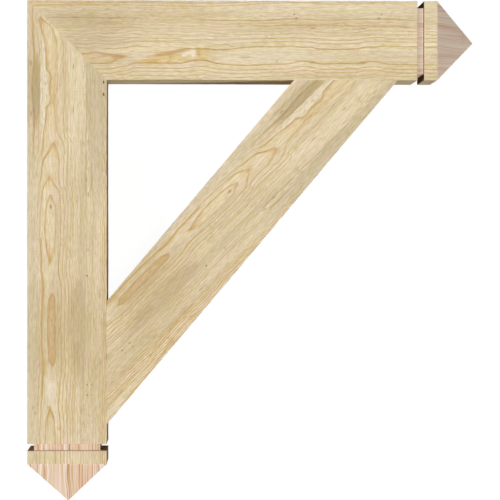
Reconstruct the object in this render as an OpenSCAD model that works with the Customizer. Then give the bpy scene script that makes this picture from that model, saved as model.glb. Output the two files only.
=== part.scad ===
// Timber bracket: a post and an arm mitred at the corner, held by a diagonal brace.
// The post and the arm each end in a sawn groove, a full-size block and a four-sided point.
//
// The bracket lies on its side on a level floor, z = 0.
// +X runs out from the wall along the arm, +Y up the wall in use, +Z through the thickness.
// The origin is the centre of the bounding box's underside.
// Lengths are in millimetres: the timber is full 6 x 6 inch stock.

/* [Bracket] */
// Reach from the wall to the tip of the arm
projection = 863.6; // [760:0.1:1100]
// Drop from the top of the arm to the tip of the post
height = 965.2; // [860:0.1:1200]
// Side of the square timber
timber = 152.4; // [100:0.1:160]

/* [Shaped ends] */
// Length of the four-sided point
point_l = 76.2; // [50:0.1:80]
// Length of the full-size block behind the point
block_l = 25.4; // [15:0.1:40]
// Width of the groove behind the block
groove_w = 12.7; // [6:0.1:20]
// Depth of the groove, the same on all four faces
groove_d = 12.7; // [5:0.1:30]

/* [Brace] */
// Width of the brace across its face
brace_w = 152.4; // [90:0.1:160]
// Distance from the brace's outer edge to the groove, on the arm and on the post
brace_setback = 38.1; // [20:0.1:60]

/* [Hidden] */

// All that lies beyond the plain timber at a shaped end.
end_l = groove_w + block_l + point_l;
// Run of the brace's outer edge along the arm, and its drop down the post.
brace_run = projection - end_l - brace_setback - timber;
brace_drop = height - end_l - brace_setback - timber;
brace_slope_l = norm([brace_run, brace_drop]);
// Lengths of the brace's two seats, which its slope makes longer than its width.
head_seat = brace_w * brace_slope_l / brace_drop;
foot_seat = brace_w * brace_slope_l / brace_run;

// Outline of a shaped end, for a timber that lies along +X with its tip at x = l.
// It starts on the edge y = 0 and ends on the edge y = timber.
function shaped_end(l) =
    let (point_x = l - point_l, block_x = point_x - block_l, groove_x = block_x - groove_w)
    [
        [groove_x, 0],
        [groove_x, groove_d],
        [block_x, groove_d],
        [block_x, 0],
        [point_x, 0],
        [l, timber / 2],
        [point_x, timber],
        [block_x, timber],
        [block_x, timber - groove_d],
        [groove_x, timber - groove_d],
        [groove_x, timber],
    ];

// A timber of length l: the same end outline is sawn through the face and through the edge.
// Its near end is mitred, so the edge y = 0 is the long one.
module mitred_timber(l) {
    intersection() {
        linear_extrude(timber)
            polygon(concat([[0, 0]], shaped_end(l), [[timber, timber]]));
        translate([0, timber, 0])
            rotate([90, 0, 0])
                linear_extrude(timber)
                    polygon(concat([[0, 0]], shaped_end(l), [[0, timber]]));
    }
}

// Moves its children from the outer corner of the mitre to their place in the bracket.
module at_corner() {
    translate([-projection / 2, height / 2, 0]) children();
}

module wall_post() {
    color("#dbc9a6")
        at_corner() rotate([0, 0, -90]) mitred_timber(height);
}

module top_arm() {
    color("#dccaa7")
        at_corner() mirror([0, 1, 0]) mitred_timber(projection);
}

module brace() {
    color("#d8c6a1")
        at_corner()
            translate([timber, -timber, 0])
                linear_extrude(timber)
                    polygon([
                        [0, -brace_drop],
                        [brace_run, 0],
                        [brace_run - head_seat, 0],
                        [0, foot_seat - brace_drop],
                    ]);
}

wall_post();
top_arm();
brace();
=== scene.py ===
"""A timber bracket in rough-sawn fir: a post and an arm mitred at the corner, with a diagonal brace.

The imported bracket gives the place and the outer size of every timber. Each timber is shaped on a bench, with
its length along +X and its first arris on the X axis, is then put in the bracket, and gets its relief there.
On the bench, a place in the wood is (along, across, deep): along the timber, across the show face from the
first arris, and down from the show face. Lengths are in metres, unless a line says millimetres.
"""

import logging
import math
from collections.abc import Callable, Sequence
from dataclasses import dataclass, field
from enum import Enum
from functools import partialmethod

import bmesh
import bpy
from mathutils import Matrix, Vector


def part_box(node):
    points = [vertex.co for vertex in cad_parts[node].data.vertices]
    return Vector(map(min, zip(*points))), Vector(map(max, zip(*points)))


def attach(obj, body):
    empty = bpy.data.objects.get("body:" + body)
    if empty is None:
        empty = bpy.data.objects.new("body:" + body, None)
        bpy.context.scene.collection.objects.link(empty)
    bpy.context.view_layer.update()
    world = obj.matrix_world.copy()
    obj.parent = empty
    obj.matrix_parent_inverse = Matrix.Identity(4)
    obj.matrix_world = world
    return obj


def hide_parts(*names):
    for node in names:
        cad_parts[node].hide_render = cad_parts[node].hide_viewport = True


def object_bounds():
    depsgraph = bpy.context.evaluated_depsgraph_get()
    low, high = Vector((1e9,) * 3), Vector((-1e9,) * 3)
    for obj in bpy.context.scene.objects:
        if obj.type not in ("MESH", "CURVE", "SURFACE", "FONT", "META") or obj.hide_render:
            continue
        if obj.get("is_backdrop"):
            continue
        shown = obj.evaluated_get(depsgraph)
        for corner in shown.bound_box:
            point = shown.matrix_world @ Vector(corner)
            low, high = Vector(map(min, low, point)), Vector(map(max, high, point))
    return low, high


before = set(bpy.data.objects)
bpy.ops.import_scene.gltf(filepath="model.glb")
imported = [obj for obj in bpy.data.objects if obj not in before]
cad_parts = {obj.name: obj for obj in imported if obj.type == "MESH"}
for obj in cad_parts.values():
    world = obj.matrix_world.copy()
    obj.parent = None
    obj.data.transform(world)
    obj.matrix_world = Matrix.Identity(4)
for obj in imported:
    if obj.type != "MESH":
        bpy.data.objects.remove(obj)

LOG = logging.getLogger("bracket")
MM = 0.001
# The levels of a random pattern that are spread over 0 to 1, for a weak and for a strong contrast.
WIDE = (0.30, 0.70)
CLOSE = (0.35, 0.65)

Colour = tuple[float, float, float, float]
Knots = tuple[tuple[float, float], ...]
Tree = bpy.types.NodeTree
Socket = bpy.types.NodeSocket
Sockets = bpy.types.NodeOutputs
Value = float | tuple[float, ...] | Vector | Socket
Corner = bmesh.types.BMVert
Edge = bmesh.types.BMEdge
Face = bmesh.types.BMFace


def paint(code: str) -> Colour:
    """Turns a colour as it looks on a screen into the light that a shader works in.

    Args:
        code: The colour as six hexadecimal digits, red first.

    Returns:
        Linear red, green and blue, and an alpha of 1.
    """
    knee, slope, lift, power = 0.04045, 12.92, 0.055, 2.4
    parts = [int(code[i : i + 2], 16) / 255 for i in (0, 2, 4)]
    light = [c / slope if c <= knee else ((c + lift) / (1 + lift)) ** power for c in parts]
    return (light[0], light[1], light[2], 1.0)


def grey(level: float) -> Colour:
    """Returns an even grey of this level of light."""
    return (level, level, level, 1.0)


class TreeKind(Enum):
    """What a node tree makes: the look of a surface, or the shape of a mesh."""

    SURFACE = "ShaderNodeTree"
    SHAPE = "GeometryNodeTree"

    @property
    def group_node(self) -> str:
        """The node that places a group in a tree of this kind."""
        return "ShaderNodeGroup" if self is TreeKind.SURFACE else "GeometryNodeGroup"


class Cut(Enum):
    """How a surface of a timber was cut. The value is its material slot."""

    SAWN = 0
    PLANED = 1
    END_GRAIN = 2


class Part(Enum):
    """A kind of part of a mesh. The value is the name of the mesh's list of them."""

    VERT = "verts"
    EDGE = "edges"
    FACE = "faces"


@dataclass(frozen=True)
class Mottle:
    """A smooth random pattern, from 0 to 1 and mostly near 0.5.

    Attributes:
        along, across: The size of one patch along and across the timber, in millimetres.
        seed: A number that picks another pattern.
        detail: How many finer layers are added.
        deep: Its size into the wood, where that isn't its size across.
    """

    along: float
    across: float
    seed: float
    detail: float = 1.0
    deep: float | None = None


class NodeSheet:
    """Adds nodes to one tree and links each as it is added."""

    seed_step = (7.31, 3.17, 5.53)

    def __init__(self, tree: Tree) -> None:
        """Starts a sheet on the tree that gets the nodes."""
        self.tree = tree

    def add(self, kind: str, values: dict[str | int, Value] | None = None, **settings: str) -> bpy.types.Node:
        """Adds one node.

        Args:
            kind: The node's type.
            values: What its inputs get, by name or number: a value, or a socket to link.
            settings: The node's own settings.

        Returns:
            The new node.
        """
        node = self.tree.nodes.new(kind)
        for name, setting in settings.items():
            setattr(node, name, setting)
        for name, value in (values or {}).items():
            self.feed(node.inputs[name], value)
        return node

    def feed(self, entry: Socket, value: Value) -> None:
        """Gives an input its value, or links a socket to it.

        Args:
            entry: The input.
            value: A number, a tuple or a socket.
        """
        if isinstance(value, Socket):
            self.tree.links.new(value, entry)
        else:
            entry.default_value = value

    def math(self, operation: str, *values: Value) -> Socket:
        """Adds a Math node and returns its result."""
        return self.add("ShaderNodeMath", dict(enumerate(values)), operation=operation).outputs[0]

    plus = partialmethod(math, "ADD")
    minus = partialmethod(math, "SUBTRACT")
    times = partialmethod(math, "MULTIPLY")
    line = partialmethod(math, "MULTIPLY_ADD")  # a value, the slope that it is multiplied by, and a start

    def centred(self, value: Value) -> Socket:
        """Returns a value from 0 to 1 moved to lie about 0."""
        return self.minus(value, 0.5)

    def above_zero(self, value: Value) -> Socket:
        """Returns the number, or 0 where it is below 0."""
        return self.math("MAXIMUM", value, 0.0)

    def vector(self, operation: str, *values: Value) -> Socket:
        """Adds a Vector Math node and returns its vector."""
        return self.add("ShaderNodeVectorMath", dict(enumerate(values)), operation=operation).outputs[0]

    def length(self, vector: Socket) -> Socket:
        """Returns the length of a vector."""
        return self.add("ShaderNodeVectorMath", {0: vector}, operation="LENGTH").outputs["Value"]

    def split(self, vector: Socket) -> tuple[Socket, Socket, Socket]:
        """Returns the three parts of a vector."""
        outputs = self.add("ShaderNodeSeparateXYZ", {0: vector}).outputs
        return outputs[0], outputs[1], outputs[2]

    def join(self, x: Value, y: Value, z: Value) -> Socket:
        """Returns a vector of three parts."""
        return self.add("ShaderNodeCombineXYZ", {0: x, 1: y, 2: z}).outputs[0]

    def noise(self, place: Socket, mottle: Mottle) -> Socket:
        """Adds a smooth random pattern.

        Args:
            place: The place in the wood.
            mottle: The pattern.

        Returns:
            Its value there.
        """
        deep = mottle.across if mottle.deep is None else mottle.deep
        scaled = self.vector("DIVIDE", place, (mottle.along * MM, mottle.across * MM, deep * MM))
        moved = self.vector("ADD", scaled, tuple(mottle.seed * step for step in self.seed_step))
        values = {"Vector": moved, "Scale": 1.0, "Detail": mottle.detail}
        return self.add("ShaderNodeTexNoise", values).outputs[0]

    def curve(self, value: Socket, knots: Knots) -> Socket:
        """Adds a smooth curve through knots.

        Args:
            value: The place on the curve, in the knots' own units.
            knots: (place, height) pairs in rising order of place.

        Returns:
            The curve's height at that place, in the knots' own units.
        """
        start, end = knots[0][0], knots[-1][0]
        low, high = min(k[1] for k in knots), max(k[1] for k in knots)
        node = self.add("ShaderNodeFloatCurve", {"Value": self.span(value, start, end)})
        points = node.mapping.curves[0].points
        while len(points) < len(knots):
            points.new(0.5, 0.5)
        for point, (place, height) in zip(points, knots, strict=True):
            point.location = ((place - start) / (end - start), (height - low) / (high - low))
            point.handle_type = "AUTO_CLAMPED"
        node.mapping.update()
        return self.line(node.outputs[0], high - low, low)

    def span(self, value: Value, low: float, high: float, smooth: bool = False) -> Socket:
        """Adds a ramp.

        Args:
            value: The place on it.
            low: Where it starts, at 0.
            high: Where it ends, at 1.
            smooth: Whether it starts and ends softly.

        Returns:
            Its height at that place, from 0 to 1.
        """
        kind = "SMOOTHSTEP" if smooth else "LINEAR"
        values = {"Value": value, "From Min": low, "From Max": high}
        return self.add("ShaderNodeMapRange", values, interpolation_type=kind).outputs[0]

    def blend(self, share: Value, first: Value, second: Value, way: str = "MIX") -> Socket:
        """Returns a colour between two others."""
        values = {0: share, 6: first, 7: second}
        return self.add("ShaderNodeMix", values, data_type="RGBA", blend_type=way).outputs[2]

    def group(self, tree: Tree, **values: Value) -> Sockets:
        """Places a node group.

        Args:
            tree: The group's tree.
            values: What its inputs get. An underscore in a name stands for a space.

        Returns:
            The group's outputs.
        """
        node = self.tree.nodes.new(TreeKind(tree.bl_idname).group_node)
        node.node_tree = tree
        for name, value in values.items():
            self.feed(node.inputs[name.replace("_", " ")], value)
        return node.outputs


class Pattern:
    """A node group with named inputs and outputs, built once for each kind of tree that uses it.

    Every pattern has the place in the wood as its first input.
    """

    title = "pattern"
    numbers: tuple[str, ...] = ()
    vectors: tuple[str, ...] = ()
    outputs: tuple[str, ...] = ("Mask",)
    built: dict[tuple[str, TreeKind], Tree] = {}

    def tree(self, kind: TreeKind = TreeKind.SURFACE) -> Tree:
        """Returns the group's tree, and builds it the first time.

        Args:
            kind: The kind of tree that will use it.

        Returns:
            The tree of the group.
        """
        key = (self.title, kind)
        if key not in Pattern.built:
            tree = bpy.data.node_groups.new(f"{self.title}_{kind.name.lower()}", kind.value)
            named = (("INPUT", "Vector", ("Place", *self.vectors)), ("INPUT", "Float", self.numbers))
            for way, socket, names in (*named, ("OUTPUT", "Float", self.outputs)):
                for name in names:
                    tree.interface.new_socket(name=name, in_out=way, socket_type=f"NodeSocket{socket}")
            sheet = NodeSheet(tree)
            results = self.draw(sheet, sheet.add("NodeGroupInput").outputs)
            sheet.add("NodeGroupOutput", dict(zip(self.outputs, results, strict=True)))
            Pattern.built[key] = tree
        return Pattern.built[key]

    def draw(self, sheet: NodeSheet, entries: Sockets) -> Sequence[Socket]:
        """Adds the group's own nodes.

        Args:
            sheet: The sheet of the group's tree.
            entries: The group's inputs.

        Returns:
            One socket for each of the group's outputs.
        """
        raise NotImplementedError


class LogRadius(Pattern):
    """The distance from the heart of the log, which wavers a little as a ring does."""

    title = "log_radius"
    numbers = ("Heart Across", "Heart Depth")
    outputs = ("Radius",)
    sways = ((Mottle(60, 34, seed=1), 2.0 * MM), (Mottle(14, 6, seed=18), 1.4 * MM))
    skin = 1 * MM

    def draw(self, sheet: NodeSheet, entries: Sockets) -> Sequence[Socket]:
        """Adds the nodes of the distance. See Pattern.draw."""
        place = entries["Place"]
        _, across, deep = sheet.split(place)
        moves = [(sheet.centred(sheet.noise(place, mottle)), reach) for mottle, reach in self.sways]
        for move, reach in moves:
            across = sheet.line(move, reach, across)
        side = sheet.minus(across, entries["Heart Across"])
        inside = sheet.above_zero(sheet.minus(deep, self.skin))
        down = sheet.minus(inside, entries["Heart Depth"])
        return (sheet.length(sheet.join(side, down, 0.0)),)


class SawnFibres(Pattern):
    """What shows between the rings: fibre streaks, broad tones, dark flecks and the marks of the saw."""

    title = "sawn_fibres"
    outputs = ("Streak", "Fine Streak", "Tone", "Flush", "Fleck", "Saw Mark")
    streak = Mottle(80, 3.4, seed=3, detail=2)
    fine = Mottle(15, 2, seed=4, detail=2)
    flush = Mottle(70, 9, seed=21, detail=3)
    tone = Mottle(260, 30, seed=5, detail=3)
    fleck, fleck_levels = Mottle(11, 2, seed=6), (0.58, 0.74)
    bunch, bunch_levels = Mottle(70, 26, seed=19), (0.46, 0.62)
    saw_slant, saw_pitch = 0.12, 5.5 * MM
    wander, wander_reach = Mottle(60, 120, seed=7), 30 * MM
    bite, bite_levels = Mottle(45, 60, seed=8), (0.35, 0.75)

    def draw(self, sheet: NodeSheet, entries: Sockets) -> Sequence[Socket]:
        """Adds the fibres' nodes. See Pattern.draw."""
        place = entries["Place"]
        smooth = (self.streak, self.fine, self.flush, self.tone, self.fleck, self.bunch)
        streak, fine, flush, tone, short, bunch = (sheet.noise(place, mottle) for mottle in smooth)
        fleck = sheet.times(sheet.span(short, *self.fleck_levels), sheet.span(bunch, *self.bunch_levels))
        along, across, deep = sheet.split(place)
        slant = sheet.line(sheet.plus(across, deep), self.saw_slant, along)
        tooth = sheet.line(sheet.noise(place, self.wander), self.wander_reach, slant)
        wave = sheet.math("SINE", sheet.times(tooth, math.tau / self.saw_pitch))
        bite = sheet.span(sheet.noise(place, self.bite), *self.bite_levels)
        return streak, fine, tone, flush, fleck, sheet.times(wave, bite)


class LongPatch(Pattern):
    """A long patch, which may lean across the timber and have a soft or a crisp edge."""

    title = "long_patch"
    vectors = ("Middle", "Reach")
    numbers = ("Lean", "Crispness", "Unevenness")

    def draw(self, sheet: NodeSheet, entries: Sockets) -> Sequence[Socket]:
        """Adds the patch's nodes. See Pattern.draw."""
        along, across, deep = sheet.split(sheet.vector("SUBTRACT", entries["Place"], entries["Middle"]))
        leant = sheet.minus(across, sheet.times(along, entries["Lean"]))
        share = sheet.vector("DIVIDE", sheet.join(along, leant, deep), entries["Reach"])
        spread = sheet.above_zero(sheet.plus(sheet.length(share), entries["Unevenness"]))
        total = sheet.math("POWER", spread, entries["Crispness"])
        return (sheet.math("POWER", math.e, sheet.times(total, -1.0)),)


class Arris(Pattern):
    """The worn strip beside the long edges of a square timber."""

    title = "arris"
    numbers = ("Timber",)
    outputs = ("Mask", "Chip")
    worn_width = 3.0 * MM
    chips, chip_levels = Mottle(22, 14, seed=10, detail=2), (0.52, 0.72)

    def draw(self, sheet: NodeSheet, entries: Sockets) -> Sequence[Socket]:
        """Adds the strip's nodes. See Pattern.draw."""
        _, across, deep = sheet.split(entries["Place"])
        half = sheet.times(entries["Timber"], 0.5)
        off = (sheet.math("ABSOLUTE", sheet.minus(part, half)) for part in (across, deep))
        inside = [sheet.minus(half, distance) for distance in off]
        near = sheet.minus(1.0, sheet.span(sheet.plus(*inside), 0.0, self.worn_width))
        chip = sheet.span(sheet.noise(entries["Place"], self.chips), *self.chip_levels)
        return near, sheet.times(near, chip)


class CutStripes(Pattern):
    """The straight stripes of a freshly cut surface, on whichever face of the end they run along.

    The last size of each mottle is for the number of the face, so that every face has its own stripes.
    """

    title = "cut_stripes"
    numbers = ("Timber", "Seed")
    outputs = ("Stripe", "Pale Streak", "Flush")
    face_steps = (7.0, 3.0)
    bend, bend_reach = Mottle(90, 34, seed=11, deep=1000), 12 * MM
    broad, broad_levels = Mottle(260, 3.6, seed=12, deep=1000), (0.56, 0.72)
    thin, thin_levels = Mottle(160, 2.2, seed=20, deep=1000), (0.53, 0.70)
    pale, pale_levels = Mottle(240, 3.4, seed=13, deep=1000), (0.51, 0.65)
    flush = Mottle(120, 24, seed=14, deep=1000)

    def draw(self, sheet: NodeSheet, entries: Sockets) -> Sequence[Socket]:
        """Adds the stripes' nodes. See Pattern.draw."""
        along, across, deep = sheet.split(entries["Place"])
        half = sheet.times(entries["Timber"], 0.5)
        side, down = sheet.minus(across, half), sheet.minus(deep, half)
        upper = sheet.math("GREATER_THAN", sheet.math("ABSOLUTE", down), sheet.math("ABSOLUTE", side))
        over = sheet.times(side, upper)
        round_side = sheet.times(down, sheet.minus(1.0, upper))
        turn = sheet.times(sheet.math("SIGN", sheet.plus(down, side)), self.face_steps[1])
        face = sheet.plus(sheet.line(upper, self.face_steps[0], turn), entries["Seed"])
        lane = sheet.plus(over, round_side)
        bend = sheet.noise(sheet.join(along, lane, face), self.bend)
        path = sheet.join(along, sheet.line(sheet.centred(bend), self.bend_reach, lane), face)
        smooth = (self.broad, self.thin, self.pale, self.flush)
        broad, thin, pale, flush = (sheet.noise(path, mottle) for mottle in smooth)
        stripes = (sheet.span(broad, *self.broad_levels), sheet.span(thin, *self.thin_levels))
        return sheet.math("MAXIMUM", *stripes), sheet.span(pale, *self.pale_levels), flush


@dataclass(frozen=True)
class Placement:
    """Where a timber, or its grain, lies in the bracket.

    Attributes:
        origin: Where its first arris starts, in plan.
        turn: The angle from +X to its length, about +Z.
        hand: 1 if it lies to the left of its first arris as it runs, -1 if to the right.
        timber: The side of the square timber.
        show_height: The height of the show face.
    """

    origin: Vector
    turn: float
    hand: int
    timber: float
    show_height: float

    def find(self, sheet: NodeSheet, spot: Socket) -> Socket:
        """Adds the nodes that turn a point of the bracket into a place in the wood.

        Args:
            sheet: The sheet that gets the nodes.
            spot: The point in the bracket.

        Returns:
            Its distance along, across and down.
        """
        start = (self.origin.x, self.origin.y, self.show_height)
        values = {"Vector": sheet.vector("SUBTRACT", spot, start), "Angle": -self.turn}
        turned = sheet.add("ShaderNodeVectorRotate", values, rotation_type="Z_AXIS").outputs[0]
        return sheet.vector("MULTIPLY", turned, (1.0, self.hand, -1.0))


@dataclass(frozen=True)
class HeartLine:
    """The line of the log's heart inside a timber, which sets the pattern of its rings.

    Attributes:
        ends: The radius at which each known ring ends, from the innermost, in millimetres.
        strengths: How strongly the end of each known ring shows.
        stations: Where the show face cuts each ring, in millimetres: along the timber, and the first and
            the last place across it. At the tip of a loop these two are the same.
        inner_width, outer_width, far_width: How wide the rings inside, outside and far outside those are.
        outer_strength, far_strength: How strongly the last two show.
        far, near_far: The radius at which the far rings start, and how far from it the rings even out.
        unevenness: How long a run of wide or narrow rings is.
        steadiness: How much of that is left far out.
        latewood_profile: How the latewood rises over the width of one ring.
    """

    ends: tuple[float, ...]
    strengths: tuple[float, ...]
    stations: dict[int, tuple[tuple[float, float, float], ...]]
    inner_width: float = 2.5 * MM
    outer_width: float = 4.5 * MM
    outer_strength: float = 0.25
    far: float = 107 * MM
    far_width: float = 3.6 * MM
    far_strength: float = 1.1
    near_far: float = 5 * MM
    unevenness: float = 9 * MM
    steadiness: float = 0.2
    latewood_profile: Knots = (
        (0, 0), (0.40, 0.02), (0.56, 0.12), (0.66, 0.24), (0.78, 0.50), (0.88, 0.82), (0.96, 1), (1, 0),
    )

    def rings(
        self, sheet: NodeSheet, place: Socket, kind: TreeKind = TreeKind.SURFACE
    ) -> tuple[Socket, Socket]:
        """Adds the rings.

        Args:
            sheet: The sheet that gets the nodes.
            place: The place in the wood.
            kind: The kind of tree that the sheet is for.

        Returns:
            How much latewood there is, and how strongly its ring shows.
        """
        along, _, _ = sheet.split(place)
        middles, depths = [], []
        stations = ((*cut, ring) for ring, cuts in self.stations.items() for cut in cuts)
        for stop, first, last, ring in sorted(stations):
            middles.append((stop * MM, (first + last) / 2 * MM))
            depths.append((stop * MM, math.sqrt(self.ends[ring] ** 2 - ((last - first) / 2) ** 2) * MM))
        radius = sheet.group(
            LogRadius().tree(kind), Place=place, Heart_Across=sheet.curve(along, tuple(middles)),
            Heart_Depth=sheet.curve(along, tuple(depths)),
        )["Radius"]
        count = self.count(sheet, radius)
        known, early, run_in = len(self.ends), 0.1, 1.0
        turn = known + (self.far - self.ends[-1] * MM) / self.outer_width
        shown = [(number - early, strength) for number, strength in enumerate(self.strengths)]
        beyond = ((known + run_in, self.outer_strength), (turn - run_in, self.outer_strength))
        strength = sheet.curve(count, (*shown, *beyond, (turn + run_in, self.far_strength)))
        return sheet.curve(sheet.math("FRACT", count), self.latewood_profile), strength

    def count(self, sheet: NodeSheet, radius: Socket) -> Socket:
        """Adds the nodes that turn a radius into a number of rings.

        Args:
            sheet: The sheet that gets the nodes.
            radius: The distance from the heart.

        Returns:
            The number of rings inside that radius, from the innermost known one.
        """
        ends, inside = [end * MM for end in self.ends], 2.0
        start = ends[0] - inside * self.inner_width
        counted = ((end, float(ring)) for ring, end in enumerate(ends))
        known = sheet.curve(radius, ((start, -inside), *counted))
        inner = sheet.math("MINIMUM", sheet.minus(radius, start), 0.0)
        outer = sheet.above_zero(sheet.minus(radius, ends[-1]))
        years = {"W": radius, "Scale": 1 / self.unevenness, "Detail": 1.0}
        uneven = sheet.add("ShaderNodeTexNoise", years, noise_dimensions="1D").outputs[0]
        shift = sheet.times(sheet.centred(uneven), 2.0)
        shift = sheet.times(shift, sheet.span(outer, 0.0, 2 * self.near_far))
        near = sheet.span(radius, self.far + self.near_far, self.far - self.near_far)
        shift = sheet.times(shift, sheet.line(near, 1.0 - self.steadiness, self.steadiness))
        count = sheet.line(inner, 1 / self.inner_width, sheet.plus(known, shift))
        beyond = sheet.above_zero(sheet.minus(radius, self.far))
        count = sheet.line(beyond, 1 / self.far_width - 1 / self.outer_width, count)
        return sheet.line(outer, 1 / self.outer_width, count)


@dataclass(frozen=True)
class Patch:
    """One patch of another tone in a timber. See LongPatch.

    Attributes:
        colour: Its colour, as paint reads it.
        along, across: Its middle, in millimetres.
        length, width: How far it fades out, along and across, in millimetres.
        strength: How much of its colour shows at its middle.
        hides_rings: How much of the rings it hides there.
        crispness: 2 for a soft edge, and more for a crisper one.
        ragged: How uneven its edge is.
        lean: How far it moves across for each metre along.
        deep: How far it goes into the wood.
    """

    colour: str
    along: float
    across: float
    length: float
    width: float
    strength: float
    hides_rings: float = 0.0
    crispness: float = 3.0
    ragged: float = 0.35
    lean: float = 0.0
    deep: float = 30 * MM

    def mask(self, sheet: NodeSheet, place: Socket, edge: Socket) -> Socket:
        """Adds the patch's mask.

        Args:
            sheet: The sheet that gets the nodes.
            place: The place in the wood.
            edge: A random value about 0 that makes its edge uneven.

        Returns:
            1 at its middle and 0 far off.
        """
        return sheet.group(
            LongPatch().tree(), Place=place, Middle=(self.along * MM, self.across * MM, 0.0),
            Reach=(self.length * MM, self.width * MM, self.deep), Lean=self.lean,
            Crispness=self.crispness, Unevenness=sheet.times(edge, self.ragged),
        )["Mask"]


@dataclass(frozen=True)
class Thread:
    """A thin line of another tone that follows the grain.

    Attributes:
        colour: Its colour, as paint reads it.
        course: (along, across) knots of its middle, in millimetres.
        strength: How much of its colour shows at its middle.
        width: How far it fades out on each side, in millimetres.
        hides_rings: Nothing, since it is a line itself.
        sway: How far it sways.
        fade: Over how far it fades, before and past each end.
        thinning: How much narrower it gets for each metre into the wood.
    """

    colour: str
    course: Knots
    strength: float
    width: float = 1.8
    hides_rings: float = 0.0
    sway: float = 2 * MM
    fade: float = 8 * MM
    thinning: float = 0.2

    def mask(self, sheet: NodeSheet, place: Socket, edge: Socket) -> Socket:
        """Adds the line's mask. See Patch.mask."""
        along, across, deep = sheet.split(place)
        course = tuple((stop * MM, height * MM) for stop, height in self.course)
        across = sheet.line(edge, self.sway, across)
        off = sheet.math("ABSOLUTE", sheet.minus(across, sheet.curve(along, course)))
        off = sheet.line(sheet.above_zero(deep), self.thinning, off)
        near = sheet.span(off, self.width * MM, 0.0, smooth=True)
        start = sheet.span(along, course[0][0] - self.fade, course[0][0] + self.fade)
        stop = sheet.span(along, course[-1][0] + self.fade, course[-1][0] - self.fade)
        return sheet.times(near, sheet.times(start, stop))


@dataclass(frozen=True)
class Wood:
    """What the finishes of one timber share.

    Attributes:
        name: The timber's name.
        fit: Where the timber lies.
        grain: Where its grain lies.
        heart: Its heart line, in the grain's own place.
        patches: Its patches of other tones, in the grain's own place.
        seed: A number that picks its cut stripes.
    """

    name: str
    fit: Placement
    grain: Placement
    heart: HeartLine
    patches: tuple[Patch | Thread, ...]
    seed: float


@dataclass(frozen=True)
class Finish:
    """How one kind of surface looks.

    Attributes:
        roughness: How matt it is.
        specular: How much it shines.
        bump: How far its bumps stand up.
    """

    roughness: float
    specular: float
    bump: float
    title = "finish"

    def material(self, wood: Wood) -> bpy.types.Material:
        """Makes the finish for one timber.

        Args:
            wood: The timber's wood.

        Returns:
            The material.
        """
        material = bpy.data.materials.new(f"{wood.name}_{self.title}")
        material.use_nodes = True
        sheet = NodeSheet(material.node_tree)
        shader = material.node_tree.nodes["Principled BSDF"].inputs
        spot = sheet.add("ShaderNodeTexCoord").outputs["Object"]
        colour, roughness, height = self.draw(sheet, wood, spot)
        sheet.feed(shader["Base Color"], colour)
        sheet.feed(shader["Roughness"], roughness)
        sheet.feed(shader["Specular IOR Level"], self.specular)
        bump = sheet.add("ShaderNodeBump", {"Height": height, "Distance": self.bump, "Strength": 1.0})
        sheet.feed(shader["Normal"], bump.outputs[0])
        return material

    def draw(self, sheet: NodeSheet, wood: Wood, spot: Socket) -> tuple[Socket, Socket, Socket]:
        """Adds the nodes of the finish.

        Args:
            sheet: The sheet of the material's tree.
            wood: The timber's wood.
            spot: The point in the bracket.

        Returns:
            Its colour, its roughness and the height of its bumps.
        """
        raise NotImplementedError


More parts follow.
